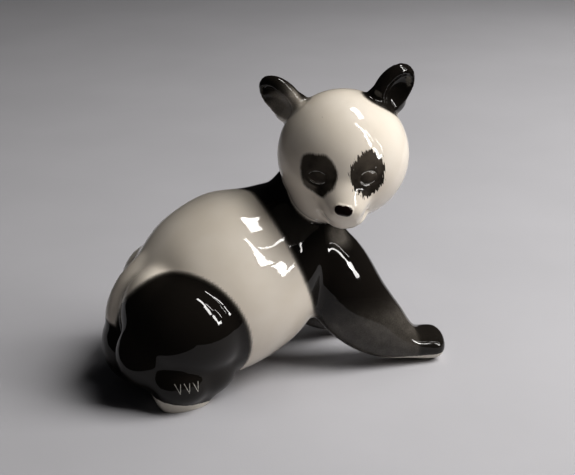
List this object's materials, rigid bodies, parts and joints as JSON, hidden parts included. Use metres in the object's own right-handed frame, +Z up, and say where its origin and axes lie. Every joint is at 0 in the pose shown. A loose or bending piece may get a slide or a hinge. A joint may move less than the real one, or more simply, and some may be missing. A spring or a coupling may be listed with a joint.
{
  "type": "panda figurine",
  "caption": "Glazed porcelain panda cub sitting on its rump with its head turned back over the right shoulder.",
  "frame": {"origin": "centre of the bounding box in plan, on the table the figure stands on", "axes": "+X from the rump to the forepaws, +Y to the panda's left, +Z up; the head looks back towards -Y"},
  "size_m": [0.0998, 0.0616, 0.0913],
  "materials": {
    "glazed_porcelain": "white slip-cast porcelain, airbrushed and brushed in brown-black under a clear gloss glaze"
  },
  "bodies": {
    "root": {"panda": "glazed_porcelain"}
  },
  "joints": []
}
